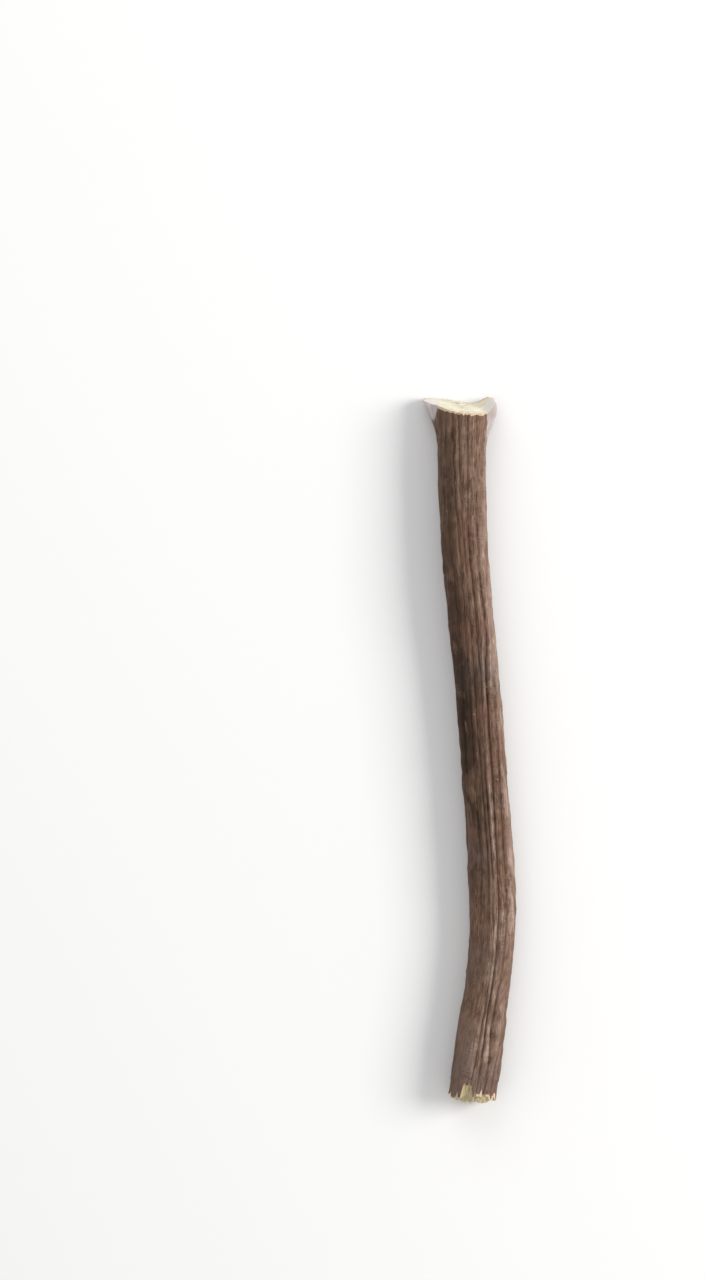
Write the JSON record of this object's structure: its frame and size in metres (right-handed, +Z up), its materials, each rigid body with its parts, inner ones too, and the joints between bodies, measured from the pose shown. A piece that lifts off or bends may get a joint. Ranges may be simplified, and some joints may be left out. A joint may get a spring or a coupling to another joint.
{
  "type": "licorice root",
  "caption": "Cut length of dried licorice root with ridged brown bark, a flared crown end and a broken tip, lying on its side.",
  "frame": {"origin": "middle of the root's bounding box in plan, on the surface that the root lies on", "axes": "+Y along the root towards its flared crown end, +Z up from the surface that it lies on, +X the side that it bows towards"},
  "size_m": [0.0184, 0.1412, 0.0103],
  "materials": {
    "bark": "rough dry bark, matt",
    "cut_wood": "fibrous cut root wood, matt"
  },
  "bodies": {
    "root": {"licorice_root": "bark"}
  },
  "joints": []
}
